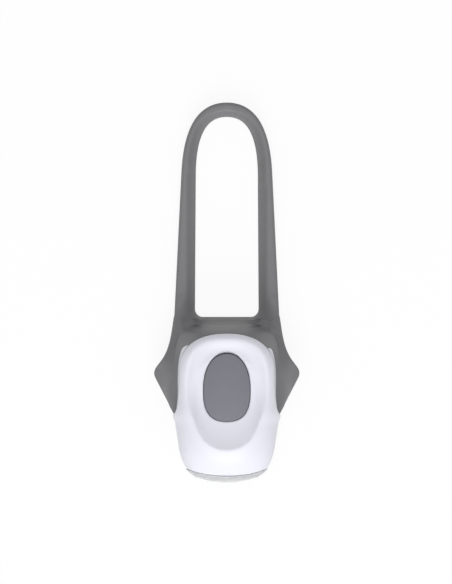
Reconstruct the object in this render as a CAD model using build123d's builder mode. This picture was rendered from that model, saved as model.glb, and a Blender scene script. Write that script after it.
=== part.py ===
from build123d import *
from math import sqrt
import os

os.makedirs("parts", exist_ok=True)

# Bike light: a hard light unit in a silicone holder with a long loop strap.
# The light lies on its back. X runs across it, Y runs from the lens to the loop, Z runs up
# through the button. The origin is on the resting plane, in the middle of the bar saddle.
# All sizes are in millimetres.

# Cells, two stacked
cell_diameter = 20.0
cell_height = 3.2
cell_y = -3.8
cell_gap = 0.2

# Walls and fits
shell_wall = 1.2
nose_wall = 0.9
tray_wall = 0.6
skin = 1.1
fit_gap = 0.1
boot_gap = 0.2
boot_floor = 1.3
rear_trim = 8.0
web_run = 3.55

# Handlebar saddle in the underside
bar_diameter = 25.4
saddle_depth = 3.0

# Battery door
door_recess = 0.3
door_thickness = 1.2
door_lug = 0.65
lug_thickness = 0.5
lug_width = 5.0
bayonet_roof = 0.3
coin_slot_length = 13.0
coin_slot_width = 1.8
coin_slot_depth = 0.7
door_seal_wire = 0.5
door_turn = 40.0

# Electrics
contact_sheet = 0.25
contact_spring_room = 0.5
board_thickness = 1.0
room_over_board = 7.3
switch_size = 6.0
switch_height = 1.3
plunger_diameter = 3.0
plunger_rise = 0.6
plunger_travel = 0.3
led_board_width = 11.0
led_board_thickness = 1.0
led_size = 3.2
led_thickness = 0.8
led_dome_radius = 1.2
pin_width = 0.6
pin_pitch = 2.54
pin_length = 2.4
chip_size = 3.2
chip_height = 0.9
resistor_size = (1.6, 0.8, 0.5)

# Light path
beam_run = 14.4
lens_wall = 1.5
lip_radius = 30.0
lip_overhang = 1.75
reflector_mouth_radius = 4.2
reflector_wall = 0.7

# Button and dish
button_y = -5.2
button_width = 11.6
button_length = 16.8
button_gap = 0.15
button_wall = 0.9
button_travel = 0.5
button_crown = 0.7
flange_reach = 0.8
flange_thickness = 0.7
seal_thickness = 0.5
dish_y = -6.2
dish_width = 21.0
dish_length = 27.5
dish_depth = 2.5

# Strap
strap_thickness = 4.0
loop_length = 54.2
loop_half_width = 11.5
leg_root_half_width = 13.2
hole_half_width = 7.8
hole_root_half_width = 8.0
loop_band = 3.6
strap_inner_round = 1.5
strap_outer_round = 0.8
strap_back_round = 0.6

# Ears
ear_half_span = 18.2
ear_y = -1.7
ear_height = 7.2
ear_fade = 4.5
ear_reach = 4.2
leg_flare = 0.045

# Case fasteners
screw_x = 8.5
screw_y = -16.4
screw_diameter = 1.6
screw_head_diameter = 2.8
screw_head_height = 1.0
screw_length = 7.0
boss_radius = 1.8

# Heights that follow from the stack
cell_radius = cell_diameter / 2
pocket_z = saddle_depth + boot_floor
core_z = pocket_z + boot_gap
outer_z = core_z - skin
door_z = core_z + door_recess
door_top = door_z + door_thickness
cell_z = door_top + contact_sheet + contact_spring_room
cells_top = cell_z + 2 * cell_height
board_z = cells_top + cell_gap + contact_sheet
board_top = board_z + board_thickness
waist_z = door_z + 4.2
seam_z = waist_z - 0.5
crown_z = board_top + room_over_board
floor_corner = 3.4

# Places along the light that follow from the cells
tray_radius = cell_radius + cell_gap + tray_wall
head_half_width = tray_radius + fit_gap + shell_wall + skin + 0.3
covered_rear = cell_y + tray_radius + fit_gap + shell_wall
cover_rear = covered_rear - fit_gap
boot_rear = covered_rear + web_run
boot_front = cell_y - 8.7
nose_y = cell_y - tray_radius - beam_run
lip_y = nose_y + lip_overhang
inner_rear = covered_rear - shell_wall

# The head's form at stations from the web to the tip of the lens: share of the run, share of
# the half width, underside, widest height and top as shares, and how square the crown is.
rear_stations = [
    (0.88, 0.770, 1.32, -0.27, 0.06, 2.4),
    (0.75, 0.859, 1.07, -0.08, 0.415, 2.6),
    (0.58, 0.933, 1.00, 0.00, 0.67, 2.8),
    (0.36, 0.978, 1.00, 0.00, 0.815, 3.0),
    (0.00, 1.000, 1.00, 0.00, 0.905, 3.0),
]
front_stations = [
    (0.205, 1.000, 1.00, 0.00, 0.95, 3.0),
    (0.345, 1.000, 1.00, 0.00, 0.985, 3.0),
    (0.400, 0.963, 1.00, 0.00, 0.995, 3.0),
    (0.476, 0.938, 1.00, 0.00, 1.00, 3.0),
    (0.603, 0.902, 1.00, 0.01, 0.99, 2.9),
    (0.722, 0.862, 0.98, 0.03, 0.93, 2.7),
    (0.817, 0.793, 0.94, 0.07, 0.83, 2.5),
    (0.881, 0.730, 0.80, 0.11, 0.72, 2.4),
    (0.937, 0.600, 0.57, 0.14, 0.59, 2.3),
]


def round_section(width, middle, rise, depth, upper, lower):
    """Draws a closed section from four quarter curves, each as square as its power says."""
    for side in (1, -1):
        for height, power in ((rise, upper), (-depth, lower)):
            pull = (8 * 2 ** (-1 / power) - 4) / 3
            Bezier((side * width, middle), (side * width, middle + pull * height),
                   (side * pull * width, middle + height), (0, middle + height))


def head_section(width, middle, rise, depth, square, corner):
    """Draws a head section: crown and flanks in one curve, round lower corners, flat floor."""
    pull = 0.92 + 0.6 * (square - 2.2)
    lean = 0.2 + 0.375 * (square - 2.2)
    top = middle + rise * 32 / (20 + 10 * pull)
    Bezier((-width, middle), (-width, middle + pull * (top - middle)), (-lean * width, top),
           (lean * width, top), (width, middle + pull * (top - middle)), (width, middle))
    for side in (1, -1):
        Bezier((side * width, middle), (side * width, middle - 0.75 * depth),
               (side * (width - 0.25 * corner), middle - depth), (side * (width - corner), middle - depth))
    Line((corner - width, middle - depth), (width - corner, middle - depth))


def section_plane(y):
    """The plane across the light at y, with its x to the right and its y up."""
    return Plane(origin=(0, y, 0), x_dir=(1, 0, 0), z_dir=(0, -1, 0))


def drawn_in(size, inset):
    """A half size less the inset, but never less than a quarter of itself."""
    return max(size - inset, size / 4)


def head_form(inset):
    """The head's outer form, drawn in on every side by inset."""
    rows = [(cell_y + share * (boot_rear - cell_y), shape) for share, *shape in rear_stations]
    rows += [(cell_y - share * (cell_y - nose_y - inset), shape) for share, *shape in front_stations]
    with BuildPart() as form:
        for y, (wide, under, mid, top, square) in rows:
            middle = waist_z + mid * (crown_z - waist_z)
            depth = drawn_in(middle - waist_z + under * (waist_z - outer_z), inset)
            rise = drawn_in((top - mid) * (crown_z - waist_z), inset)
            width = drawn_in(head_half_width * wide, inset)
            with BuildSketch(section_plane(y)):
                with BuildLine():
                    head_section(width, middle, rise, depth, square, floor_corner - 0.75 * inset)
                make_face()
        loft()
    return form.part


def forward_of(y):
    """A block that takes in everything on the lens side of y."""
    with BuildPart() as block:
        with BuildSketch(section_plane(y)):
            Rectangle(4 * head_half_width, 8 * crown_z)
        extrude(amount=200)
    return block.part


def above(z):
    """A block that takes in everything over z."""
    with BuildPart() as block:
        with BuildSketch(Plane.XY.offset(z)):
            Rectangle(8 * head_half_width, 400)
        extrude(amount=100)
    return block.part


def cover_block(grow):
    """The upright prism over the part of the cover that stays in view, grown sideways."""
    half = cover_half_width + grow
    rise = cover_rear + grow - cover_waist_y
    with BuildPart() as block:
        with BuildSketch(Plane.XY.offset(seam_z)):
            with BuildLine():
                for side in (-1, 1):
                    Bezier((side * half, cover_waist_y), (side * half, cover_waist_y + 0.66 * rise),
                           (side * 0.66 * half, cover_rear + grow), (0, cover_rear + grow))
                    Spline((side * half, cover_waist_y), (side * (half + 0.25), boot_front + 5.2),
                           (side * (half + 0.95), boot_front + 1.3), (side * (half + 2.4), boot_front - 0.4),
                           tangents=((0, -1), (side * 2, -1)))
                    Line((side * (half + 2.4), boot_front - 0.4), (side * (half + 2.4), nose_y - 5))
                Line((-half - 2.4, nose_y - 5), (half + 2.4, nose_y - 5))
            make_face()
        extrude(amount=crown_z)
    return block.part


def egg(grow):
    """The button's outline, grown on every side."""
    with BuildSketch() as outline:
        with BuildLine():
            round_section(button_width / 2 + grow, button_waist_y, button_rear_run + grow,
                          button_front_run + grow, 2.2, 2.6)
        make_face()
    return outline.sketch


def ellipsoid(x, y, z, half_x, half_y, half_z):
    """An ellipsoid by its centre and half axes."""
    with BuildPart() as ball:
        Sphere(1)
        scale(by=(half_x, half_y, half_z))
    return ball.part.moved(Location((x, y, z)))


def between_lips(outer_radius, inner_radius):
    """The band between two upright round walls that follow the cover's front lip."""
    with BuildPart() as band:
        with BuildSketch():
            with Locations((0, lip_y + lip_radius)):
                Circle(outer_radius)
                if inner_radius:
                    Circle(inner_radius, mode=Mode.SUBTRACT)
        extrude(amount=2 * crown_z)
    return band.part


# Plan of the cover and the button
cover_half_width = head_half_width - 1.7
cover_waist_y = cover_rear - 9.7
button_waist_y = button_y - 0.8
button_rear_run = button_length / 2 + 0.8
button_front_run = button_length / 2 - 0.8

# The forms that the head is cut from
outer_form = head_form(0)
covered_form = head_form(skin)
pocket_form = head_form(skin - boot_gap)
cavity_form = head_form(skin + shell_wall)
nose_cavity_form = head_form(nose_wall)
boot_cut = forward_of(boot_front)

# The hard case before it is parted and hollowed. Behind the nose it is drawn in under the
# silicone, but for the raised field of the cover.
with BuildPart() as under_silicone:
    with BuildSketch(section_plane(boot_front)):
        Rectangle(4 * head_half_width, 8 * crown_z)
    extrude(amount=-100)
    add(cover_block(0), mode=Mode.SUBTRACT)
    add(covered_form & forward_of(covered_rear), mode=Mode.SUBTRACT)
with BuildPart() as case:
    add(outer_form)
    add(under_silicone.part, mode=Mode.SUBTRACT)
    add(between_lips(lip_radius, 0), mode=Mode.INTERSECT)

# Inside of the case: the cell bay behind and the lamp bay in front, under the dish and its wall
bay_front = cell_y - tray_radius - fit_gap
dish_top_z = waist_z + 0.93 * (crown_z - waist_z)
dish_sphere = 12.0
dish_sink = dish_sphere - dish_depth
dish_share = sqrt(1 - (dish_sink / dish_sphere) ** 2)
dish_half_x = dish_width / 2 / dish_share
dish_half_y = dish_length / 2 / dish_share
dish_tool = ellipsoid(0, dish_y, dish_top_z + dish_sink, dish_half_x, dish_half_y, dish_sphere)
roof_tool = ellipsoid(0, dish_y, dish_top_z + dish_sink, dish_half_x + shell_wall,
                      dish_half_y + shell_wall, dish_sphere + shell_wall)
dish_floor_z = dish_top_z - dish_depth
collar_z = dish_floor_z - shell_wall

with BuildPart() as cell_bay:
    add(cavity_form)
    add(forward_of(inner_rear), mode=Mode.INTERSECT)
    add(forward_of(bay_front), mode=Mode.SUBTRACT)
with BuildPart() as lamp_bay:
    add(nose_cavity_form)
    add(forward_of(bay_front + 0.5), mode=Mode.INTERSECT)
with BuildPart() as hollow:
    add(cell_bay.part)
    add(lamp_bay.part)
    add(roof_tool, mode=Mode.SUBTRACT)

# Screw bosses, drilled for the two screws that come from below
screw_head_z = outer_z + 0.45
screw_places = [(-screw_x, screw_y), (screw_x, screw_y)]
with BuildPart() as bosses:
    with BuildSketch():
        with Locations(*screw_places):
            Circle(boss_radius)
    extrude(amount=crown_z)
with BuildPart() as screw_holes:
    with BuildSketch(Plane.XY.offset(outer_z - 1)):
        with Locations(*screw_places):
            Circle(screw_head_diameter / 2 + fit_gap)
    extrude(amount=screw_head_z + screw_head_height - outer_z + 1)
    with BuildSketch(Plane.XY.offset(screw_head_z)):
        with Locations(*screw_places):
            Circle(screw_diameter / 2 + fit_gap / 2)
    extrude(amount=screw_head_height + screw_length + 0.4)

# Cord seal in the joint of the case halves, round the cell bay
seal_inset = skin + (shell_wall - seal_thickness) / 2
seal_rear = covered_rear - seal_inset + skin
with BuildPart() as seal_core:
    add(head_form(seal_inset + seal_thickness))
    add(forward_of(seal_rear - seal_thickness), mode=Mode.INTERSECT)
with BuildPart() as case_seal:
    add(head_form(seal_inset))
    add(forward_of(seal_rear), mode=Mode.INTERSECT)
    add(above(seam_z - seal_thickness / 2), mode=Mode.INTERSECT)
    add(above(seam_z + seal_thickness / 2), mode=Mode.SUBTRACT)
    add(boot_cut, mode=Mode.SUBTRACT)
    add(seal_core.part, mode=Mode.SUBTRACT)
case_seal.part.label = "case_seal"
export_step(case_seal.part, "parts/case_seal.step")

# Lens sizes: a flattened ellipsoid whose widest line lies behind the lip
lens_y = lip_y + 2.65
lens_z = waist_z + 2.2
lens_half_x = 10.5
lens_half_y = lens_y - nose_y
lens_half_z = 7.6
skirt_half_x = 7.9
skirt_half_z = 4.4
skirt_wall = 0.7
skirt_rear = lens_y + 0.5


def oval_tube(y_front, y_rear, half_x, half_z, wall):
    """An oval ring along the beam, hollow by its wall."""
    with BuildPart() as tube:
        with BuildSketch(Plane((0, y_rear, lens_z), x_dir=(1, 0, 0), z_dir=(0, -1, 0))):
            Ellipse(half_x, half_z)
            Ellipse(half_x - wall, half_z - wall, mode=Mode.SUBTRACT)
        extrude(amount=y_rear - y_front)
    return tube.part


# Ledge inside both halves, which the lens seal lies against
ledge_front = skirt_rear + seal_thickness + fit_gap
with BuildPart() as lens_ledge:
    with BuildSketch(Plane((0, ledge_front + 0.8, lens_z), x_dir=(1, 0, 0), z_dir=(0, -1, 0))):
        Rectangle(3 * lens_half_x, 4 * lens_half_z)
        Ellipse(skirt_half_x - skirt_wall, skirt_half_z - skirt_wall, mode=Mode.SUBTRACT)
    extrude(amount=0.8)

# Bore that the lens's skirt goes into
with BuildPart() as lens_bore:
    with BuildSketch(Plane((0, ledge_front - 0.05, lens_z), x_dir=(1, 0, 0), z_dir=(0, -1, 0))):
        Ellipse(skirt_half_x + fit_gap, skirt_half_z + fit_gap)
    extrude(amount=8)

# Cover: dish, button opening with its collar, and the upper halves of the screw bosses
with BuildPart() as collar:
    with BuildSketch(Plane.XY.offset(collar_z)):
        add(egg(button_gap + flange_reach + 0.4))
    extrude(amount=crown_z)
with BuildPart() as flange_room:
    with BuildSketch(Plane.XY.offset(board_top + 0.5)):
        add(egg(button_gap + flange_reach + 0.1))
    extrude(amount=collar_z - board_top - 0.5)
with BuildPart() as upper_hollow:
    add(hollow.part)
    add(bosses.part, mode=Mode.SUBTRACT)
    add(lens_ledge.part, mode=Mode.SUBTRACT)
    add(collar.part, mode=Mode.SUBTRACT)
with BuildPart() as top_shell:
    add(case.part)
    add(above(seam_z), mode=Mode.INTERSECT)
    add(upper_hollow.part, mode=Mode.SUBTRACT)
    add(flange_room.part, mode=Mode.SUBTRACT)
    add(dish_tool, mode=Mode.SUBTRACT)
    with BuildSketch(Plane.XY.offset(seam_z)):
        add(egg(button_gap))
    extrude(amount=crown_z, mode=Mode.SUBTRACT)
    add(screw_holes.part, mode=Mode.SUBTRACT)
    add(lens_bore.part, mode=Mode.SUBTRACT)
    add(case_seal.part, mode=Mode.SUBTRACT)
top_shell.part.label = "top_shell"
export_step(top_shell.part, "parts/top_shell.step")

# Battery door: a bayonet disc with three lugs, turned with a coin
door_radius = cell_radius
bore_radius = door_radius + 0.15
lug_radius = door_radius + door_lug
lug_bottom = door_top - lug_thickness
rib_top = door_top + fit_gap + bayonet_roof
seal_seat_z = door_z + fit_gap + door_seal_wire / 2


def lugs(reach, width, turn):
    """Three lugs round the door's axis, turned about it."""
    with BuildSketch() as outline:
        with PolarLocations(0, 3, start_angle=90 + turn):
            Rectangle(reach + 1, width, align=(Align.MIN, Align.CENTER))
        Circle(reach, mode=Mode.INTERSECT)
    return outline.sketch


with BuildPart() as battery_door:
    with BuildSketch(Plane((0, cell_y, door_z))):
        Circle(door_radius)
    extrude(amount=door_thickness)
    chamfer(battery_door.faces().sort_by(Axis.Z)[0].edges(), 0.25)
    with BuildSketch(Plane((0, cell_y, lug_bottom))):
        add(lugs(lug_radius, lug_width, 0))
    extrude(amount=lug_thickness)
    with BuildSketch(Plane((0, cell_y, door_z))):
        SlotOverall(coin_slot_length, coin_slot_width)
    extrude(amount=coin_slot_depth, mode=Mode.SUBTRACT)
    with BuildSketch(Plane((0, cell_y, seal_seat_z - door_seal_wire / 2))):
        Circle(door_radius + 1)
        Circle(door_radius - door_seal_wire / 2 - 0.15, mode=Mode.SUBTRACT)
    extrude(amount=door_seal_wire, mode=Mode.SUBTRACT)
battery_door.part.label = "battery_door"
export_step(battery_door.part, "parts/battery_door.step")

with BuildPart() as door_seal:
    with BuildSketch(Plane((0, cell_y, seal_seat_z), x_dir=(1, 0, 0), z_dir=(0, -1, 0))):
        with Locations((door_radius + 0.1 - door_seal_wire / 2, 0)):
            Circle(door_seal_wire / 2)
    revolve(axis=Axis((0, cell_y, 0), (0, 0, 1)))
door_seal.part.label = "door_seal"
export_step(door_seal.part, "parts/door_seal.step")

# Spring plate on the door with its raised middle, the negative pole
with BuildPart() as door_contact:
    with BuildSketch(Plane((0, cell_y, door_top))):
        Circle(door_radius - fit_gap)
        with PolarLocations(5.5, 3):
            SlotOverall(4, 1.2, mode=Mode.SUBTRACT)
    extrude(amount=contact_sheet)
    with BuildSketch(Plane((0, cell_y, door_top + contact_sheet))):
        Circle(2.5)
    extrude(amount=contact_spring_room - fit_gap / 2, taper=20)
door_contact.part.label = "door_contact"
export_step(door_contact.part, "parts/door_contact.step")

# Lower half: a ring rib with the door's bayonet groove, screw bosses and the lamp board's cradle
lamp_board_front = bay_front - 2.2
lamp_board_rear = lamp_board_front + led_board_thickness
lamp_board_bottom = outer_z + shell_wall + 1.4
beam_z = waist_z + 2.2
cradle_top = beam_z - 4.2
with BuildPart() as bayonet_rib:
    with BuildSketch(Plane((0, cell_y, 0))):
        Circle(lug_radius + shell_wall)
    extrude(amount=rib_top)
with BuildPart() as cradle:
    with BuildSketch():
        with Locations((0, (lamp_board_front + lamp_board_rear) / 2)):
            Rectangle(led_board_width - 3, led_board_thickness + 2)
    extrude(amount=cradle_top)
    with BuildSketch(Plane.XY.offset(lamp_board_bottom)):
        with Locations((0, (lamp_board_front + lamp_board_rear) / 2)):
            Rectangle(led_board_width + fit_gap, led_board_thickness + fit_gap)
    extrude(amount=cradle_top, mode=Mode.SUBTRACT)
with BuildPart() as lower_hollow:
    add(hollow.part)
    add(bosses.part, mode=Mode.SUBTRACT)
    add(lens_ledge.part, mode=Mode.SUBTRACT)
    add(bayonet_rib.part, mode=Mode.SUBTRACT)
    add(cradle.part, mode=Mode.SUBTRACT)
with BuildPart() as bottom_shell:
    add(case.part)
    add(above(seam_z), mode=Mode.SUBTRACT)
    add(lower_hollow.part, mode=Mode.SUBTRACT)
    with BuildSketch(Plane((0, cell_y, outer_z - 1))):
        Circle(bore_radius)
    extrude(amount=waist_z - outer_z + 1, mode=Mode.SUBTRACT)
    with BuildSketch(Plane((0, cell_y, lug_bottom - fit_gap))):
        Circle(lug_radius + fit_gap)
    extrude(amount=lug_thickness + 2 * fit_gap, mode=Mode.SUBTRACT)
    with BuildSketch(Plane((0, cell_y, outer_z - 1))):
        add(lugs(lug_radius + fit_gap, lug_width + 0.4, door_turn))
    extrude(amount=lug_bottom - outer_z + 1, mode=Mode.SUBTRACT)
    add(screw_holes.part, mode=Mode.SUBTRACT)
    add(lens_bore.part, mode=Mode.SUBTRACT)
    add(case_seal.part, mode=Mode.SUBTRACT)
    with BuildSketch(Plane.XY.offset(core_z - fit_gap)):
        with Locations((0, covered_rear)):
            Rectangle(4 * head_half_width, rear_trim)
    extrude(amount=-skin, mode=Mode.SUBTRACT)
bottom_shell.part.label = "bottom_shell"
export_step(bottom_shell.part, "parts/bottom_shell.step")

with BuildPart() as case_screws:
    with BuildSketch(Plane.XY.offset(screw_head_z)):
        with Locations(*screw_places):
            Circle(screw_head_diameter / 2)
    extrude(amount=screw_head_height)
    with BuildSketch(Plane.XY.offset(screw_head_z + screw_head_height)):
        with Locations(*screw_places):
            Circle(screw_diameter / 2)
    extrude(amount=screw_length)
    with BuildSketch(Plane.XY.offset(screw_head_z)):
        with Locations(*screw_places):
            Rectangle(1.8, 0.4)
            Rectangle(0.4, 1.8)
    extrude(amount=0.5, mode=Mode.SUBTRACT)
case_screws.part.label = "case_screws"
export_step(case_screws.part, "parts/case_screws.step")


# Two coin cells: a can with a smaller negative cap underneath
def coin_cell(bottom_z):
    """One cell standing on its negative cap."""
    cap = 0.25
    with BuildPart() as cell:
        with BuildSketch(Plane((0, cell_y, bottom_z + cap))):
            Circle(cell_radius)
        extrude(amount=cell_height - cap)
        fillet(cell.edges(), 0.3)
        with BuildSketch(Plane((0, cell_y, bottom_z))):
            Circle(cell_radius - 1.3)
        extrude(amount=cap + 0.1)
    return cell.part


lower_cell = coin_cell(cell_z)
lower_cell.label = "lower_cell"
export_step(lower_cell, "parts/lower_cell.step")
upper_cell = coin_cell(cell_z + cell_height)
upper_cell.label = "upper_cell"
export_step(upper_cell, "parts/upper_cell.step")

# Cell tray: a ring wall round the cells with an inward lip that carries the board
bay_fit_form = head_form(skin + shell_wall + fit_gap)
side_contact_width = 3.0
with BuildPart() as cell_tray:
    with BuildSketch(Plane((0, cell_y, rib_top))):
        Circle(tray_radius)
        Circle(cell_radius + cell_gap, mode=Mode.SUBTRACT)
    extrude(amount=board_z - rib_top)
    with BuildSketch(Plane((0, cell_y, cells_top + fit_gap))):
        Circle(tray_radius)
        Circle(cell_radius - 1.4, mode=Mode.SUBTRACT)
    extrude(amount=board_z - cells_top - fit_gap)
    with BuildSketch(Plane((0, cell_y + tray_radius, rib_top))):
        Rectangle(side_contact_width + 0.2, 2.6)
    extrude(amount=board_z - rib_top, mode=Mode.SUBTRACT)
    add(bay_fit_form, mode=Mode.INTERSECT)
cell_tray.part.label = "cell_tray"
export_step(cell_tray.part, "parts/cell_tray.step")

# Side strip from the door's plate to the board, and the leaf over the upper cell
strip_y = cell_y + cell_radius + cell_gap + 0.05
with BuildPart() as side_contact:
    with BuildSketch(Plane.XY.offset(rib_top)):
        with Locations((0, strip_y + contact_sheet / 2)):
            Rectangle(side_contact_width, contact_sheet)
    extrude(amount=board_z - rib_top)
    with BuildSketch(Plane.XY.offset(rib_top)):
        with Locations((0, strip_y - 0.25)):
            Rectangle(side_contact_width, 0.5)
    extrude(amount=contact_sheet)
side_contact.part.label = "side_contact"
export_step(side_contact.part, "parts/side_contact.step")

with BuildPart() as upper_contact:
    with BuildSketch(Plane((0, cell_y, board_z - contact_sheet))):
        SlotOverall(12, 3)
    extrude(amount=contact_sheet)
    with BuildSketch(Plane((0, cell_y, cells_top + 0.05))):
        with Locations((-3.5, 0), (3.5, 0)):
            Circle(1)
    extrude(amount=cell_gap - 0.05)
upper_contact.part.label = "upper_contact"
export_step(upper_contact.part, "parts/upper_contact.step")

# Round board with a tongue to the lamp board, and what is soldered to it
with BuildPart() as main_board:
    with BuildSketch(Plane.XY.offset(board_z)):
        with Locations((0, cell_y)):
            Circle(tray_radius - 0.2)
        with Locations((0, (cell_y + lamp_board_rear + 0.05) / 2)):
            Rectangle(9, cell_y - lamp_board_rear - 0.05)
    extrude(amount=board_thickness)
    add(bay_fit_form, mode=Mode.INTERSECT)
main_board.part.label = "main_board"
export_step(main_board.part, "parts/main_board.step")


def soldered(places, size):
    """Blocks that stand on the board."""
    with BuildPart() as blocks:
        with BuildSketch(Plane.XY.offset(board_top)):
            with Locations(*places):
                Rectangle(size[0], size[1])
        extrude(amount=size[2])
    return blocks.part


controller_chip = soldered([(0, button_y - switch_size / 2 - chip_size / 2 - 0.4)],
                           (chip_size, chip_size, chip_height))
controller_chip.label = "controller_chip"
export_step(controller_chip, "parts/controller_chip.step")
resistor_y = button_y + switch_size / 2 + 1.4
resistors = soldered([(-2.6, resistor_y), (0, resistor_y), (2.6, resistor_y)], resistor_size)
resistors.label = "resistors"
export_step(resistors, "parts/resistors.step")

plunger_radius = plunger_diameter / 2
plunger_floor = board_top + 0.1 + plunger_travel
plunger_top = board_top + switch_height + plunger_rise
with BuildPart() as switch_frame:
    with BuildSketch(Plane((0, button_y, board_top))):
        RectangleRounded(switch_size, switch_size, 0.4)
    extrude(amount=switch_height)
    with BuildSketch(Plane((0, button_y, board_top + 0.1))):
        Circle(plunger_radius + 0.05)
    extrude(amount=switch_height, mode=Mode.SUBTRACT)
switch_frame.part.label = "switch_frame"
export_step(switch_frame.part, "parts/switch_frame.step")

with BuildPart() as switch_plunger:
    with BuildSketch(Plane((0, button_y, plunger_floor))):
        Circle(plunger_radius)
    extrude(amount=plunger_top - plunger_floor)
switch_plunger.part.label = "switch_plunger"
export_step(switch_plunger.part, "parts/switch_plunger.step")

# Button: a domed cup with a flange under the collar and a post over the plunger
flange_top = collar_z - seal_thickness
flange_bottom = flange_top - flange_thickness
post_bottom = plunger_top + button_travel - plunger_travel + 0.05
button_rim_z = dish_floor_z + 0.8
button_top_z = button_rim_z + button_crown
dome_half_z = 6.0
dome_share = sqrt(1 - (1 - button_crown / dome_half_z) ** 2)
button_dome = ellipsoid(0, button_y, button_top_z - dome_half_z,
                        button_width / 2 / dome_share, button_length / 2 / dome_share, dome_half_z)
with BuildPart() as button:
    with BuildSketch(Plane.XY.offset(flange_bottom)):
        add(egg(0))
    extrude(amount=crown_z - flange_bottom)
    add(button_dome, mode=Mode.INTERSECT)
    with BuildSketch(Plane.XY.offset(flange_bottom)):
        add(egg(flange_reach))
    extrude(amount=flange_thickness)
    with BuildSketch(Plane.XY.offset(flange_bottom)):
        add(egg(-button_wall))
    extrude(amount=button_rim_z - button_wall - flange_bottom, mode=Mode.SUBTRACT)
    with BuildSketch(Plane((0, button_y, post_bottom))):
        Circle(1.4)
    extrude(amount=button_rim_z - post_bottom)
button.part.label = "button"
export_step(button.part, "parts/button.step")

with BuildPart() as button_seal:
    with BuildSketch(Plane.XY.offset(flange_top)):
        add(egg(flange_reach + 0.2))
        add(egg(button_gap + 0.1), mode=Mode.SUBTRACT)
    extrude(amount=seal_thickness)
button_seal.part.label = "button_seal"
export_step(button_seal.part, "parts/button_seal.step")

# Lens: the domed nose, with a skirt that goes inside the case
with BuildPart() as lens:
    add(ellipsoid(0, lens_y, lens_z, lens_half_x, lens_half_y, lens_half_z))
    add(ellipsoid(0, lens_y, lens_z, lens_half_x - lens_wall, lens_half_y - lens_wall,
                  lens_half_z - lens_wall), mode=Mode.SUBTRACT)
    add(between_lips(lip_radius + fit_gap / 2, 0), mode=Mode.SUBTRACT)
    add(oval_tube(lip_y - 0.5, skirt_rear, skirt_half_x, skirt_half_z, skirt_wall))
lens.part.label = "lens"
export_step(lens.part, "parts/lens.step")

lens_seal = oval_tube(skirt_rear + fit_gap / 2, skirt_rear + fit_gap / 2 + seal_thickness,
                      skirt_half_x, skirt_half_z, skirt_wall)
lens_seal.label = "lens_seal"
export_step(lens_seal, "parts/lens_seal.step")

# Lamp: board, package, dome and reflector bowl, all on the beam's axis
beam = Axis((0, 0, beam_z), (0, 1, 0))
with BuildPart() as led_board:
    with BuildSketch(Plane((0, lamp_board_rear, 0), x_dir=(1, 0, 0), z_dir=(0, -1, 0))):
        with Locations((0, (lamp_board_bottom + fit_gap + beam_z + 5) / 2)):
            Rectangle(led_board_width, beam_z + 5 - lamp_board_bottom - fit_gap)
        with GridLocations(pin_pitch, 1, 3, 1):
            with Locations((0, board_top + pin_width / 2)):
                Rectangle(pin_width + 0.2, pin_width + 0.2, mode=Mode.SUBTRACT)
    extrude(amount=led_board_thickness)
led_board.part.label = "led_board"
export_step(led_board.part, "parts/led_board.step")

with BuildPart() as led_package:
    with BuildSketch(Plane((0, lamp_board_front, beam_z), x_dir=(1, 0, 0), z_dir=(0, -1, 0))):
        RectangleRounded(led_size, led_size, 0.3)
    extrude(amount=led_thickness)
led_package.part.label = "led_package"
export_step(led_package.part, "parts/led_package.step")

dome_y = lamp_board_front - led_thickness
with BuildPart() as led_dome:
    with BuildSketch(Plane.YZ):
        with BuildLine():
            CenterArc((dome_y, beam_z), led_dome_radius, 90, 90)
            Polyline((dome_y - led_dome_radius, beam_z), (dome_y, beam_z), (dome_y, beam_z + led_dome_radius))
        make_face()
    revolve(axis=beam)
led_dome.part.label = "led_dome"
export_step(led_dome.part, "parts/led_dome.step")

bowl_rear = lamp_board_front - 0.05
bowl_front = ledge_front + 0.8 + fit_gap
throat_radius = led_size / 2 + 0.8
with BuildPart() as reflector:
    with BuildSketch(Plane.YZ):
        with BuildLine():
            inner = Bezier((bowl_rear, beam_z + throat_radius), (bowl_rear - 0.5, beam_z + throat_radius + 1.6),
                           (bowl_front + 2.5, beam_z + reflector_mouth_radius - 0.2),
                           (bowl_front, beam_z + reflector_mouth_radius))
            rim = Polyline(inner @ 1, (bowl_front, beam_z + reflector_mouth_radius + reflector_wall),
                           (bowl_front + reflector_wall, beam_z + reflector_mouth_radius + reflector_wall),
                           (bowl_front + reflector_wall, beam_z + reflector_mouth_radius + 0.5))
            outer = Bezier(rim @ 1, (bowl_front + 2.8, beam_z + reflector_mouth_radius + 0.3),
                           (bowl_rear - 1.0, beam_z + throat_radius + 2.2),
                           (bowl_rear, beam_z + throat_radius + 0.5))
            Line(outer @ 1, inner @ 0)
        make_face()
    revolve(axis=beam)
reflector.part.label = "reflector"
export_step(reflector.part, "parts/reflector.step")

with BuildPart() as header_pins:
    with BuildSketch(Plane.XY.offset(board_top)):
        with Locations((0, lamp_board_front + pin_length / 2)):
            with GridLocations(pin_pitch, 1, 3, 1):
                Rectangle(pin_width, pin_length)
    extrude(amount=pin_width)
header_pins.part.label = "header_pins"
export_step(header_pins.part, "parts/header_pins.step")

# Silicone holder: loop and legs, boot, feet with the bar saddle, and the eared flanks
loop_top = boot_rear + loop_length
hole_corner = 2.0
strap_root_y = boot_rear - 2.0
hole_low_y = boot_rear + 0.37
strap_z = 0.2


def loop_side(side):
    """One half of the strap's outer outline, from the top of the loop down to the boot."""
    bow = Bezier((0, loop_top), (side * 0.97 * loop_half_width, loop_top),
                 (side * 0.98 * loop_half_width, loop_top - 15), (side * loop_half_width, loop_top - 19.5))
    Polyline(bow @ 1, (side * leg_root_half_width, boot_rear),
             (side * (leg_root_half_width + leg_flare * (boot_rear - strap_root_y)), strap_root_y),
             (0, strap_root_y))


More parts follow.
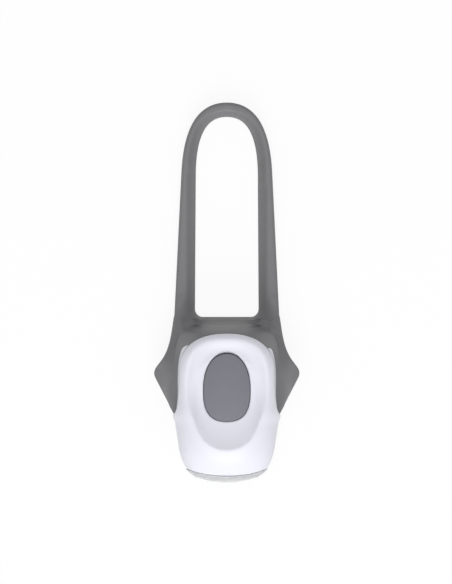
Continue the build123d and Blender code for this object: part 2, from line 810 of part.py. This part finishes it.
def hole_side(side):
    """One half of the loop's inner outline."""
    hole_top = loop_top - loop_band
    bow = Bezier((0, hole_top), (side * 0.457 * hole_half_width, hole_top),
                 (side * hole_half_width, hole_top - 2), (side * hole_half_width, hole_top - 15))
    Polyline(bow @ 1, (side * hole_root_half_width, hole_low_y), (0, hole_low_y))


with BuildPart() as loop:
    with BuildSketch(Plane.XY.offset(strap_z)):
        with BuildLine():
            loop_side(-1)
            loop_side(1)
        make_face()
        with BuildSketch(mode=Mode.SUBTRACT) as hole:
            with BuildLine():
                hole_side(-1)
                hole_side(1)
            make_face()
            fillet(hole.vertices().group_by(Axis.Y)[0].filter_by(lambda v: abs(v.X) > 1), hole_corner)
    extrude(amount=strap_thickness - strap_z)
    upper = loop.faces().sort_by(Axis.Z)[-1]
    fillet(upper.inner_wires()[0].edges(), strap_inner_round)
    upper = loop.faces().filter_by(GeomType.PLANE).sort_by(Axis.Z)[-1]
    fillet(upper.outer_wire().edges().filter_by(lambda e: e.center().Y > strap_root_y + 0.1), strap_outer_round)
    lower = loop.faces().filter_by(GeomType.PLANE).sort_by(Axis.Z)[0]
    fillet(lower.inner_wires()[0].edges(), strap_back_round)


# Flanks: the ears' plan, cut by the outlines seen from the front and from the side
with BuildPart() as flanks:
    with BuildSketch(Plane.XY.offset(-1)):
        with BuildLine():
            for side in (1, -1):
                sweep = Spline((side * (leg_root_half_width + 0.1), boot_rear + 0.4), (side * 13.9, 8.2),
                               (side * 14.8, 4.5), (side * 16.3, 1.5), (side * 17.6, -0.2),
                               (side * ear_half_span, ear_y), (side * 17.6, -3.5), (side * 15.5, -7.5),
                               (side * head_half_width, boot_front - 0.6))
                Line(sweep @ 1, (0, boot_front - 0.6))
                Line(sweep @ 0, (0, boot_rear + 0.4))
        make_face()
    extrude(amount=crown_z)
    with BuildSketch(Plane.XZ.offset(-50)):
        with BuildLine():
            for side in (1, -1):
                Bezier((0, 17), (side * 9, 17), (side * 12.5, 10.5), (side * 19, ear_height + 0.9))
                Line((side * 19, ear_height + 0.9), (side * 19, ear_height - 0.9))
                Bezier((side * 19, ear_height - 0.9), (side * 16, 4), (side * 14, 1.5), (side * 12.5, -0.5))
            Line((-12.5, -0.5), (12.5, -0.5))
        make_face()
    extrude(amount=100, mode=Mode.INTERSECT)
    with BuildSketch(Plane.YZ.offset(-30)):
        with BuildLine():
            back = boot_rear + 0.8
            rise = Bezier((back, strap_thickness - 0.1), (8.5, strap_thickness), (6.5, 7), (1.5, 9.5),
                          (-3, 12), (-8, 12), (boot_front - 1, 12.2))
            Polyline(rise @ 1, (boot_front - 1, -0.5), (back, -0.5), (back, strap_thickness - 0.1))
        make_face()
    extrude(amount=60, mode=Mode.INTERSECT)

# Web between the legs, rising to the head
with BuildPart() as web:
    with BuildSketch(Plane.YZ.offset(-9.6)):
        with BuildLine():
            slope = Bezier((boot_rear, strap_thickness + 0.3), (10.6, 5), (9.6, 8.5), (8.7, 12.5))
            Polyline(slope @ 1, (6, 12.5), (6, 0.5), (boot_rear, 0.5), slope @ 0)
        make_face()
    extrude(amount=19.2)

saddle_radius = bar_diameter / 2
with BuildPart() as feet:
    with BuildSketch():
        with Locations((0, (boot_rear + boot_front) / 2)):
            Rectangle(2 * head_half_width - 3.4, boot_rear - boot_front - 0.5)
    extrude(amount=waist_z - 2)
with BuildPart() as saddle:
    with BuildSketch(Plane.YZ.offset(-2 * head_half_width)):
        with Locations((0, saddle_depth - saddle_radius)):
            Circle(saddle_radius)
    extrude(amount=4 * head_half_width)
with BuildPart() as pocket:
    add(pocket_form)
    add(forward_of(covered_rear + boot_gap), mode=Mode.INTERSECT)
with BuildPart() as boot:
    add(outer_form)
    add(web.part)
    add(flanks.part)
    add(feet.part)
    add(above(0), mode=Mode.INTERSECT)
    add(loop.part)
with BuildPart() as silicone_strap:
    add(boot.part)
    add(boot_cut, mode=Mode.SUBTRACT)
    add(cover_block(boot_gap), mode=Mode.SUBTRACT)
    add(pocket.part, mode=Mode.SUBTRACT)
    add(saddle.part, mode=Mode.SUBTRACT)
silicone_strap.part.label = "silicone_strap"
export_step(silicone_strap.part, "parts/silicone_strap.step")
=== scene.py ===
import math

import bmesh
import bpy
import numpy as np
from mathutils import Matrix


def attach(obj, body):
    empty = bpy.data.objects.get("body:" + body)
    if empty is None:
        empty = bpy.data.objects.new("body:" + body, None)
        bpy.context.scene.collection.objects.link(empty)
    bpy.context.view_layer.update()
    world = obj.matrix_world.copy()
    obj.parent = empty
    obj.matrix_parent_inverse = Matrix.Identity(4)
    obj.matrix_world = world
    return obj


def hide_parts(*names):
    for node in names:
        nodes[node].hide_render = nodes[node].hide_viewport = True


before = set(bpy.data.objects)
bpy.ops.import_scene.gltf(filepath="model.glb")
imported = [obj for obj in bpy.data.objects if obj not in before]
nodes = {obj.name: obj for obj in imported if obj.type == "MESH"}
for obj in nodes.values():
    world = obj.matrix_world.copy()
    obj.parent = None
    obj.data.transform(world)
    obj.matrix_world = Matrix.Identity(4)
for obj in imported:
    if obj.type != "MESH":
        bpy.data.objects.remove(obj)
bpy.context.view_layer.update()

# Camera: straight above the button, far away, with the photograph's frame. One pixel of the
# 452 by 584 frame covers 0.25 mm at the height of the ears.
pixel = 0.00025
frame_height = 584 * pixel
aim = (-0.0002, 0.0185, 0.008)
standoff = 1.5
camera_data = bpy.data.cameras.new("camera")
camera_data.sensor_fit = "VERTICAL"
camera_data.sensor_height = 24
camera_data.lens = camera_data.sensor_height * standoff / frame_height
camera_data.clip_end = 10
camera = bpy.data.objects.new("camera", camera_data)
camera.location = (aim[0], aim[1], aim[2] + standoff)
bpy.context.scene.collection.objects.link(camera)
bpy.context.scene.camera = camera
bpy.context.scene.view_settings.view_transform = "Standard"


# Lamps: a large soft key from the lens side, a weak top fill and an even pale world, as in a
# light tent
head_middle = (0, 0.01, 0.01)
world_strength = 0.52


def softbox(name, place, size, watts):
    """A square area lamp, turned to the head of the light: tilted by the angle between straight
    down and the way to the head, and turned about Z to that way's bearing."""
    data = bpy.data.lights.new(name, "AREA")
    data.size = size
    data.energy = watts
    lamp = bpy.data.objects.new(name, data)
    lamp.location = place
    towards = np.array(head_middle) - np.array(place)
    lamp.rotation_euler = (math.acos(-towards[2] / np.linalg.norm(towards)), 0,
                           math.atan2(towards[0], -towards[1]) + math.pi)
    bpy.context.scene.collection.objects.link(lamp)


softbox("key", (0, -0.7, 0.62), 0.5, 4.9)
softbox("top_fill", (0, 0.0, 0.9), 0.6, 1.8)
world = bpy.data.worlds.new("studio")
world.use_nodes = True
world.node_tree.nodes["Background"].inputs["Color"].default_value = (1, 1, 1, 1)
world.node_tree.nodes["Background"].inputs["Strength"].default_value = world_strength
bpy.context.scene.world = world


# Floor: plain white sheet of card under the light. Camera, mirror and glass rays see it nearly as
# bright as paper, and it keeps the shadow of what stands on it.
class Wire:
    """A value in a material. An expression on it adds one Math node for each operator."""

    def __init__(self, finish, socket):
        self.finish = finish
        self.socket = socket

    def maths(self, operation, *others):
        """One Math node on this value and the others."""
        sockets = {place: value for place, value in enumerate((self, *others))}
        return self.finish.add("ShaderNodeMath", {"operation": operation}, sockets)

    def __add__(self, other):
        return self.maths("ADD", other)

    def __mul__(self, other):
        return self.maths("MULTIPLY", other)

    __radd__ = __add__
    __rmul__ = __mul__


class Finish:
    """A material with one Principled shader, built up from nodes on the piece's own position."""

    def __init__(self, name, colour, roughness, **fixed):
        self.material = bpy.data.materials.new(name)
        self.material.use_nodes = True
        self.tree = self.material.node_tree
        self.shader = self.tree.nodes["Principled BSDF"]
        self.shader.inputs["Base Color"].default_value = (*colour, 1)
        self.shader.inputs["Roughness"].default_value = roughness
        for socket, value in fixed.items():
            self.shader.inputs[socket.replace("_", " ")].default_value = value
        self.colour = colour
        self.place = self.add("ShaderNodeTexCoord", {}, {}, "Object")

    def add(self, kind, settings, sockets, output=0):
        """Adds a node: its settings first, then the values or links of its sockets."""
        node = self.tree.nodes.new(kind)
        for name, value in settings.items():
            if name == "stops":
                for stop, (position, grey) in zip(node.color_ramp.elements, value):
                    stop.position = position
                    stop.color = (grey, grey, grey, 1)
            else:
                setattr(node, name, value)
        for name, value in sockets.items():
            if isinstance(value, Wire):
                self.tree.links.new(value.socket, node.inputs[name])
            else:
                node.inputs[name].default_value = value
        return Wire(self, node.outputs[output])

    def noise(self, cells_per_metre, detail=2.0):
        """Cloudy noise from 0 to 1, with its cells counted per metre."""
        return self.add("ShaderNodeTexNoise", {}, {"Vector": self.place, "Scale": cells_per_metre,
                                                   "Detail": detail, "Roughness": 0.55}, "Fac")

    def shaded(self, amount, mask):
        """Takes the base colour towards a darker shade of itself where the mask is high."""
        dark = (*(channel * (1 - amount) for channel in self.colour), 1)
        mixed = self.add("ShaderNodeMix", {"data_type": "RGBA"},
                         {0: mask, 6: (*self.colour, 1), 7: dark}, 2)
        self.tree.links.new(mixed.socket, self.shader.inputs["Base Color"])

    def rough(self, value):
        """Feeds the roughness."""
        self.tree.links.new(value.socket, self.shader.inputs["Roughness"])

    def relief(self, height, depth, strength=1.0):
        """A Bump node: height from 0 to 1 stands for a depth in metres."""
        bump = self.add("ShaderNodeBump", {},
                        {"Strength": strength, "Distance": depth, "Height": height})
        self.tree.links.new(bump.socket, self.shader.inputs["Normal"])

    def on(self, *pieces):
        """Puts the material on pieces."""
        for piece in pieces:
            piece.data.materials.clear()
            piece.data.materials.append(self.material)
            faces = piece.data.polygons
            faces.foreach_set("material_index", np.zeros(len(faces), np.int32))


floor_side = 1.2
floor_gap = 0.0002
paper_share = 0.9
sheet = np.array([(-1, -1, 0), (1, -1, 0), (1, 1, 0), (-1, 1, 0)]) * floor_side / 2
floor_mesh = bpy.data.meshes.new("floor")
floor_mesh.from_pydata([tuple(corner) for corner in sheet - (0, 0, floor_gap)], [], [(0, 1, 2, 3)])
floor = bpy.data.objects.new("floor", floor_mesh)
bpy.context.scene.collection.objects.link(floor)
paper = Finish("white_paper", (0.9, 0.9, 0.9), 0.9)
glow = paper.add("ShaderNodeEmission", {}, {"Color": (1, 1, 1, 1), "Strength": 1.0}, "Emission")
rays = [paper.add("ShaderNodeLightPath", {}, {}, kind)
        for kind in ("Is Camera Ray", "Is Glossy Ray", "Is Transmission Ray")]
seen = sum(rays) * paper_share
blend = paper.tree.nodes.new("ShaderNodeMixShader")
paper.tree.links.new(seen.socket, blend.inputs[0])
paper.tree.links.new(paper.shader.outputs[0], blend.inputs[1])
paper.tree.links.new(glow.socket, blend.inputs[2])
paper.tree.links.new(blend.outputs[0], paper.tree.nodes["Material Output"].inputs["Surface"])
paper.on(floor)


# Silicone holder: loop strap, web, ears and boot, moulded in one soft grey piece. Its skin is the
# solid's own in small even cells, with the strap's rounded inner side, the valleys beside the web
# and the blends of a rubber mould worked in, and then relaxed.
weld = 2e-6


def put(name, mesh):
    """A smooth-shaded piece at the origin."""
    mesh.shade_smooth()
    piece = bpy.data.objects.new(name, mesh)
    bpy.context.scene.collection.objects.link(piece)
    return piece


def finished(raw):
    """The mesh of a piece with its modifiers applied. The piece itself goes."""
    mesh = bpy.data.meshes.new_from_object(raw.evaluated_get(bpy.context.evaluated_depsgraph_get()))
    bpy.data.objects.remove(raw)
    return mesh


def even_skin(node, voxel):
    """The node's skin, merged and remeshed in voxels of one size."""
    mesh = nodes[node].data.copy()
    skin = bmesh.new()
    skin.from_mesh(mesh)
    bmesh.ops.remove_doubles(skin, verts=skin.verts, dist=weld)
    skin.to_mesh(mesh)
    skin.free()
    raw = put(node + "_raw", mesh)
    even = raw.modifiers.new("even", "REMESH")
    even.mode = "VOXEL"
    even.voxel_size = voxel
    return finished(raw)


def relaxed(mesh, rounds, weights=None):
    """The mesh relaxed a number of rounds: each round moves a vertex half of the way to the mean
    of its neighbours, times its weight, which is taken in tenths."""
    raw = put("relax_raw", mesh)
    relax = raw.modifiers.new("relax", "SMOOTH")
    relax.factor = 0.5
    relax.iterations = rounds
    if weights is not None:
        group = raw.vertex_groups.new(name="soft")
        levels = np.clip(np.round(weights * 10), 0, 10).astype(int)
        for level in range(1, 11):
            group.add(np.flatnonzero(levels == level).tolist(), level / 10, "REPLACE")
        relax.vertex_group = "soft"
    return finished(raw)


def points(mesh):
    """The vertices in millimetres, one row each."""
    flat = np.empty(len(mesh.vertices) * 3)
    mesh.vertices.foreach_get("co", flat)
    return flat.reshape(-1, 3) * 1000


def move(mesh, rows):
    """Puts rows of millimetres back as the vertices."""
    mesh.vertices.foreach_set("co", (rows / 1000).ravel())
    mesh.update()


def facing(mesh):
    """How far each vertex faces up: the z part of its normal."""
    flat = np.empty(len(mesh.vertices) * 3)
    mesh.vertex_normals.foreach_get("vector", flat)
    return flat.reshape(-1, 3)[:, 2]


def step(value, low, high):
    """Goes from 0 at low to 1 at high with level ends: 3 t squared less 2 t cubed."""
    t = np.clip((value - low) / (high - low), 0, 1)
    return t * t * (3 - 2 * t)


# the thumb dish in plan, an ellipse, and how its rim stands up, in millimetres
dish_middle = -6.2
dish_half = (10.5, 13.75)
side_rise = 1.3
side_hollow = 0.45
rear_rise = 3.7


def rim_lift(rows):
    """Height added round the dish, read at q, the distance from its middle in ellipse radii. At the
    sides it is a rim at q = 1 less a hollow at q = 0.7. The rear has a higher rim and no hollow, and
    takes over by the square of the share of q that points rearward. All of it fades in front. The
    ellipse squares off towards the rear: its power goes from 2 to 2.7."""
    across = rows[:, 0] / dish_half[0]
    along = (rows[:, 1] - dish_middle) / dish_half[1]
    power = 2 + 0.7 * step(along, -0.1, 0.5)
    q = (abs(across) ** power + abs(along) ** power) ** (1 / power)
    rearward = along / np.maximum(q, 1e-6)
    side_rim = side_rise * step(q, 0.8, 1.03) * (1 - step(q, 1.06, 1.22))
    side = side_rim - side_hollow * step(q, 0.5, 0.68) * (1 - step(q, 0.7, 0.95))
    rear = rear_rise * step(q, 0.7, 1.03) * (1 - step(q, 1.03, 1.33))
    fade = step(rearward, -1.0, 0.0)
    towards_rear = np.maximum(rearward, 0) ** 2
    return (side + (rear - side) * towards_rear) * fade


def plan_distance(inside, reach):
    """Distance of every grid cell from a filled plan, grown ring by ring as far as the reach: the
    least of its eight neighbours' distances plus the way to that neighbour."""
    distance = np.where(inside, 0.0, reach)
    long, wide = distance.shape
    for _ in range(int(reach / grid_cell)):
        padded = np.pad(distance, 1, constant_values=reach)
        for i, j in np.ndindex(3, 3):
            way = grid_cell * math.hypot(i - 1, j - 1)
            distance = np.minimum(distance, padded[i:i + long, j:j + wide] + way)
    return distance


def evened(grid, rounds):
    """The grid smoothed: each round a cell becomes half itself and a quarter of each neighbour,
    along both axes in turn."""
    for _ in range(rounds):
        for axis in (0, 1):
            grid = (np.roll(grid, 1, axis) + 2 * grid + np.roll(grid, -1, axis)) / 4
    return grid


def read(grid, rows):
    """The grid's value at each point, mixed from the four cells round it by nearness."""
    place = (rows[:, :2] - grid_low) / grid_cell - 0.5
    corner = np.floor(place).astype(int)
    across, along = (place - corner).T
    i, j = corner.T
    return ((grid[i, j] * (1 - across) + grid[i + 1, j] * across) * (1 - along)
            + (grid[i, j + 1] * (1 - across) + grid[i + 1, j + 1] * across) * along)


def drawn_towards(rows, distance, by, reach):
    """Moves points sideways down the slope of a distance field, by the full amount next to its
    plan and by none at the reach. Where the slope is under flat_slope a cell, it moves them less."""
    slope = np.stack([read(part, rows) for part in np.gradient(distance)], -1)
    slope /= np.maximum(np.linalg.norm(slope, axis=1, keepdims=True), flat_slope)
    rows[:, :2] -= slope * (by * (1 - step(read(distance, rows), 0.3, reach)))[:, None]


skin = even_skin("silicone_strap", 0.0003)
cover_skin = even_skin("top_shell", 0.00025)
rows = points(skin)
cover_rows = points(cover_skin)
# a grid over the plan, in millimetres, that reaches past the silicone and under the whole head
grid_cell = 0.3
flat_slope = 0.22
margin = 4
head_reach = 18
grid_low = rows[:, :2].min(0) - (margin, head_reach)
grid_size = tuple(np.ceil((rows[:, :2].max(0) + margin - grid_low) / grid_cell).astype(int))


def cells(places):
    """The grid cell that each point lies in."""
    return tuple(((places[:, :2] - grid_low) / grid_cell).astype(int).T)


top_of_grey = np.full(grid_size, -1.0)
np.maximum.at(top_of_grey, cells(rows), rows[:, 2])
top_of_white = np.full(grid_size, -1.0)
np.maximum.at(top_of_white, cells(cover_rows), cover_rows[:, 2])
centres = np.indices(grid_size).transpose(1, 2, 0) * grid_cell + grid_low + grid_cell / 2
middle_x, middle_y = centres[..., 0], centres[..., 1]
cover_plan = evened(plan_distance(top_of_white > top_of_grey, 6), 2)
nothing = (top_of_grey < 0) & (top_of_white < 0)
# the loop's opening: straight-sided, with half an ellipse at its end
opening_low, opening_bend = 11, 50
opening_side = 8.3
end_half = (8.6, 11.8)
past_bend = np.maximum(middle_y - opening_bend, 0)
in_loop = np.hypot(middle_x / end_half[0], past_bend / end_half[1]) < 1
loop_opening = nothing & (abs(middle_x) < opening_side) & (middle_y > opening_low) & in_loop
covered = np.where(top_of_grey > top_of_white, top_of_white, -1.0)
neighbours = [np.roll(covered, (i - 1, j - 1), (0, 1)) for i, j in np.ndindex(3, 3)]
hidden = evened(np.maximum.reduce(neighbours), 2)
shown = read(cover_plan, rows)
edge = read(evened(plan_distance(nothing, 6), 2), rows)
hole = read(evened(plan_distance(loop_opening, 4), 2), rows)
upward = step(facing(skin), 0.0, 0.3)
# both sides are shaped alike, so x is the distance from the middle; y runs towards the loop's end
x, y, z = abs(rows[:, 0]), rows[:, 1], rows[:, 2]
# the strap falls away towards its inner side, down to just over its flat back
strap_back = 0.2
inner_width = 2.6
inner_fall = 0.78
along_legs = np.maximum(step(y, 12.4, 14.0), step(x, 4.5, 7.5) * step(y, 10.5, 12.0))
shoulder = inner_fall * np.clip(1 - hole / inner_width, 0, 1) ** 1.5 * along_legs
z = z - (z - strap_back) * shoulder * step(z, 0.8, 2.4)
# the legs thicken into the flanks
leg_rise = np.interp(y, (2.5, 5, 8, 10.5, 12, 14, 18), (0, 0.2, 0.9, 1.3, 1.2, 0.7, 0))
z = z + leg_rise * step(x, 10.3, 11.0) * step(z, 1.5, 3.5)
# the web's slope behind the case, the valleys at its ends and the ridges outside them
web_foot, ridge_foot = 12.4, 12.0
web_height, web_slope = 3.4, 2.4
valley_height, valley_slope = 4.0, 0.6
valley_depth, valley_x, valley_width = 1.9, 7.9, 2.6
ridge_height, ridge_slope = 5.2, 0.35
uphill = np.maximum(web_foot - y, 0)
web = web_height + web_slope * uphill
dip = valley_depth * np.clip(1 - (x - valley_x) / valley_width, 0, 1) ** 1.5
valley = valley_height - dip + valley_slope * uphill
ridge = ridge_height + ridge_slope * np.maximum(ridge_foot - y, 0)
no_limit = 17
cap = web + (valley - web) * step(x, 6.2, 8.2)
cap = cap + (ridge - cap) * step(x, 10.2, 11.0)
cap = cap + (no_limit - cap) * (1 - step(y, 8.4, 9.6))
z = np.where((y > 8.4) & (y < 13.5), np.minimum(z, cap), z)
# the rim round the cover falls to the flanks, and past the ears these lean towards the lens. The
# silicone stays over the white case that it hides.
least_cover = 0.6
flank_foot, flank_slope = 14.2, 1.5
flank_height = np.interp(y, (-12, -1.5, 6, 12), (8.6, 9.8, 7.2, 5.0))
flank = flank_height + flank_slope * np.maximum(flank_foot - x, 0)
z = np.where(y < 8, np.minimum(z, np.maximum(flank, read(hidden, rows) + least_cover)), z)
rows[:, 2] = z
move(skin, rows)
# how far each part is relaxed: the upper skin, the web's corners and the lip round the cover
inside_edge = step(edge, 0.4, 1.2)
off_cover = 0.3 + 0.7 * step(shown, 0.5, 1.4)
up_or_lip = np.maximum(upward, 1 - step(shown, 0.3, 1.0))
upper = inside_edge * off_cover * up_or_lip * (1 - step(y, 14, 17))
behind_case = step(y, 8.0, 9.5) * (1 - step(y, 14.5, 16.5))
web_corners = behind_case * (1 - step(x, 11.5, 12.5)) * step(x, 5.0, 7.0)
beside_cover = (1 - step(y, 9.0, 10.5)) * step(y, -14.0, -12.0)
lip = step(z, 7.0, 9.0) * (1 - step(shown, 1.2, 2.4)) * beside_cover
skin = relaxed(relaxed(skin, 70, upper), 140, web_corners * upward * step(edge, 0.3, 1.0))
skin = relaxed(relaxed(skin, 45, lip), 6)
# the lip closes on the cover, and the rear of it rises with the dish's rim
rows = points(skin)
closing = 0.5
drawn_towards(rows, cover_plan, closing, 1.8)
rows[:, 2] += rim_lift(rows) * step(rows[:, 2], 4, 9) * step(rows[:, 1], 2.0, 5.0)
move(skin, rows)
holder = put("holder_skin", skin)
silicone = Finish("grey_silicone", (0.183, 0.183, 0.19), 0.5)
cloud = silicone.noise(260, 3)
silicone.shaded(0.08, cloud)
silicone.rough(0.46 + cloud * 0.1)
silicone.relief(silicone.noise(9000, 2), 0.00001, 0.5)
silicone.on(holder)
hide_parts("silicone_strap")
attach(holder, "holder")

# Case halves: white hard plastic, moulded in a satin-polished tool and screwed together from below.
# The upper half has the thumb dish. Its rim is lifted at the sides and the rear, where the solid
# has it flatter, and its opening closes a little round the button.
cover_upward = step(facing(cover_skin), 0.05, 0.35)
cover_rows[:, 2] += rim_lift(cover_rows) * cover_upward * step(cover_rows[:, 2], 11, 13)
button_skin = even_skin("button", 0.00013)
button_rows = points(button_skin)
button_foot = 19
opening_shrink = 0.08
button_plan = np.zeros(grid_size, bool)
button_plan[cells(button_rows[button_rows[:, 2] > button_foot])] = True
drawn_towards(cover_rows, evened(plan_distance(button_plan, 3), 2), opening_shrink, 1.0)
move(cover_skin, cover_rows)
across = cover_rows[:, 0] / dish_half[0]
along = (cover_rows[:, 1] - dish_middle) / dish_half[1]
q = np.hypot(across, along)
sides = step(along / np.maximum(q, 1e-6), -0.8, -0.3)
crease = step(q, 0.54, 0.68) * (1 - step(q, 0.86, 0.97)) * sides
cover = put("cover", relaxed(relaxed(cover_skin, 60, crease), 5))
white = Finish("satin_white_plastic", (0.75, 0.755, 0.825), 0.4)
white_cloud = white.noise(180, 2)
white.shaded(0.015, white_cloud)
white.rough(0.4 + white_cloud * 0.06)
white.relief(white.noise(14000, 1), 0.000004, 0.4)
white.on(cover, nodes["bottom_shell"])
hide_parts("top_shell")
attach(cover, "light")

# Push button: egg-shaped domed cap of soft-touch plastic that stands a little over the dish. Its
# flange lies under the cover, on a ring seal.
cap = put("button_cap", relaxed(button_skin, 8))
soft_touch = Finish("soft_touch_grey", (0.178, 0.181, 0.207), 0.55)
soft_cloud = soft_touch.noise(420, 3)
soft_touch.shaded(0.06, soft_cloud)
soft_touch.rough(0.52 + soft_cloud * 0.08)
soft_touch.relief(soft_touch.noise(11000, 2), 0.000008, 0.5)
soft_touch.on(cap)
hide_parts("button")
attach(cap, "button")

# Front lens and lamp dome: clear moulded plastic. The lens has a skirt, and is pushed in under the
# cover's lip against a ring seal.
window = put("front_window", relaxed(even_skin("lens", 0.00012), 16))
clear = Finish("clear_polycarbonate", (0.93, 0.935, 0.96), 0.2, Transmission_Weight=0.62, IOR=1.49)
clear_cloud = clear.noise(300, 1)
clear.rough(0.2 + clear_cloud * 0.04)
clear.on(window, nodes["led_dome"])
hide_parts("lens")
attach(window, "light")

# Battery door: grey moulded disc with a coin slot and bayonet lugs, turned with a coin. Its tool is
# spark-eroded, which leaves a fine even grain.
door_grey = Finish("textured_door_plastic", (0.28, 0.28, 0.3), 0.5)
spark = door_grey.noise(5200, 4)
door_grey.shaded(0.12, spark)
door_grey.rough(0.42 + spark * 0.2)
door_grey.relief(spark, 0.00003, 0.7)
door_grey.on(nodes["battery_door"])

# Seals round the case joint, the door, the button and the lens: black soft rubber, squeezed
# between the pieces that they keep dry.
rubber = Finish("black_seal_rubber", (0.025, 0.025, 0.026), 0.6)
rubber_cloud = rubber.noise(2400, 2)
rubber.shaded(0.3, rubber_cloud)
rubber.rough(0.5 + rubber_cloud * 0.2)
rubber.relief(rubber_cloud, 0.00001, 0.5)
rubber.on(nodes["case_seal"], nodes["door_seal"], nodes["button_seal"], nodes["lens_seal"])

# Screws and the switch's body: plain bright steel, turned or pressed, with faint scratches along
# one way. The screws hold the case halves together from below.
steel = Finish("plain_steel", (0.56, 0.55, 0.54), 0.35, Metallic=1.0)
scratch = steel.add("ShaderNodeTexNoise", {}, {
    "Vector": steel.add("ShaderNodeMapping", {}, {"Vector": steel.place, "Scale": (300, 6000, 300)}),
    "Scale": 1.0, "Detail": 2.0}, "Fac")
steel.shaded(0.2, scratch)
steel.rough(0.25 + scratch * 0.2)
steel.on(nodes["case_screws"], nodes["switch_frame"])

# Coin cells: nickel-plated steel cans with a brushed face, two in series, one on the other in the
# tray.
nickel = Finish("nickel_can", (0.66, 0.65, 0.62), 0.3, Metallic=1.0)
brush = nickel.add("ShaderNodeTexNoise", {}, {
    "Vector": nickel.add("ShaderNodeMapping", {}, {"Vector": nickel.place, "Scale": (8000, 400, 400)}),
    "Scale": 1.0, "Detail": 3.0}, "Fac")
nickel.shaded(0.12, brush)
nickel.rough(0.22 + brush * 0.18)
nickel.on(nodes["lower_cell"], nodes["upper_cell"])

# Contacts and header pins: thin sheet and wire, bent to shape, with a warm gold-over-nickel
# plating. The pins join the lamp's board to the main board.
plating = Finish("gold_plating", (0.78, 0.62, 0.3), 0.28, Metallic=1.0)
dull = plating.noise(1500, 3)
plating.shaded(0.25, dull)
plating.rough(0.2 + dull * 0.2)
plating.on(nodes["door_contact"], nodes["upper_contact"], nodes["side_contact"], nodes["header_pins"])

# Cell tray: black moulded plastic ring with a fine grain. It centres the cells and carries the
# main board.
tray_black = Finish("black_tray_plastic", (0.03, 0.03, 0.032), 0.45)
tray_grain = tray_black.noise(3500, 3)
tray_black.shaded(0.2, tray_grain)
tray_black.rough(0.38 + tray_grain * 0.2)
tray_black.relief(tray_grain, 0.00002, 0.5)
tray_black.on(nodes["cell_tray"])

# Main board: round board with a green solder mask over its copper, which shows as slightly raised,
# darker tracks. It lies on the tray, over the cells.
mask_green = Finish("green_solder_mask", (0.02, 0.16, 0.07), 0.35)
track = mask_green.add("ShaderNodeTexWave", {"wave_type": "BANDS", "bands_direction": "DIAGONAL"}, {
    "Vector": mask_green.place, "Scale": 260.0, "Distortion": 6.0, "Detail": 1.0}, "Fac")
trace = mask_green.add("ShaderNodeValToRGB", {"stops": ((0.55, 0.0), (0.62, 1.0))}, {"Fac": track})
mask_green.shaded(0.35, trace)
mask_green.relief(trace, 0.00003, 0.6)
mask_green.on(nodes["main_board"])

# Lamp board: small upright board with a white solder mask that throws the lamp's light forward.
# It stands on the header pins.
mask_white = Finish("white_solder_mask", (0.78, 0.78, 0.75), 0.35)
mask_dust = mask_white.noise(2200, 2)
mask_white.shaded(0.08, mask_dust)
mask_white.rough(0.3 + mask_dust * 0.15)
mask_white.on(nodes["led_board"])

# Controller, resistors and the switch's plunger: dark moulded resin with a fine grain. The first
# two are soldered to the main board.
epoxy = Finish("dark_epoxy", (0.022, 0.022, 0.024), 0.5)
epoxy_grain = epoxy.noise(7000, 3)
epoxy.shaded(0.3, epoxy_grain)
epoxy.rough(0.4 + epoxy_grain * 0.25)
epoxy.relief(epoxy_grain, 0.00001, 0.5)
epoxy.on(nodes["controller_chip"], nodes["resistors"], nodes["switch_plunger"])

# Lamp package: small square body on the lamp board. The yellow phosphor on it turns the chip's
# light white.
phosphor = Finish("yellow_phosphor", (0.85, 0.68, 0.16), 0.5)
phosphor_grain = phosphor.noise(9000, 2)
phosphor.shaded(0.15, phosphor_grain)
phosphor.relief(phosphor_grain, 0.00001, 0.4)
phosphor.on(nodes["led_package"])

# Reflector: moulded bowl behind the lens, round the lamp, with a bright metal coat that is laid
# down as vapour.
bright = Finish("vapour_metal", (0.9, 0.9, 0.91), 0.06, Metallic=1.0)
haze = bright.noise(600, 2)
bright.rough(0.04 + haze * 0.05)
bright.on(nodes["reflector"])
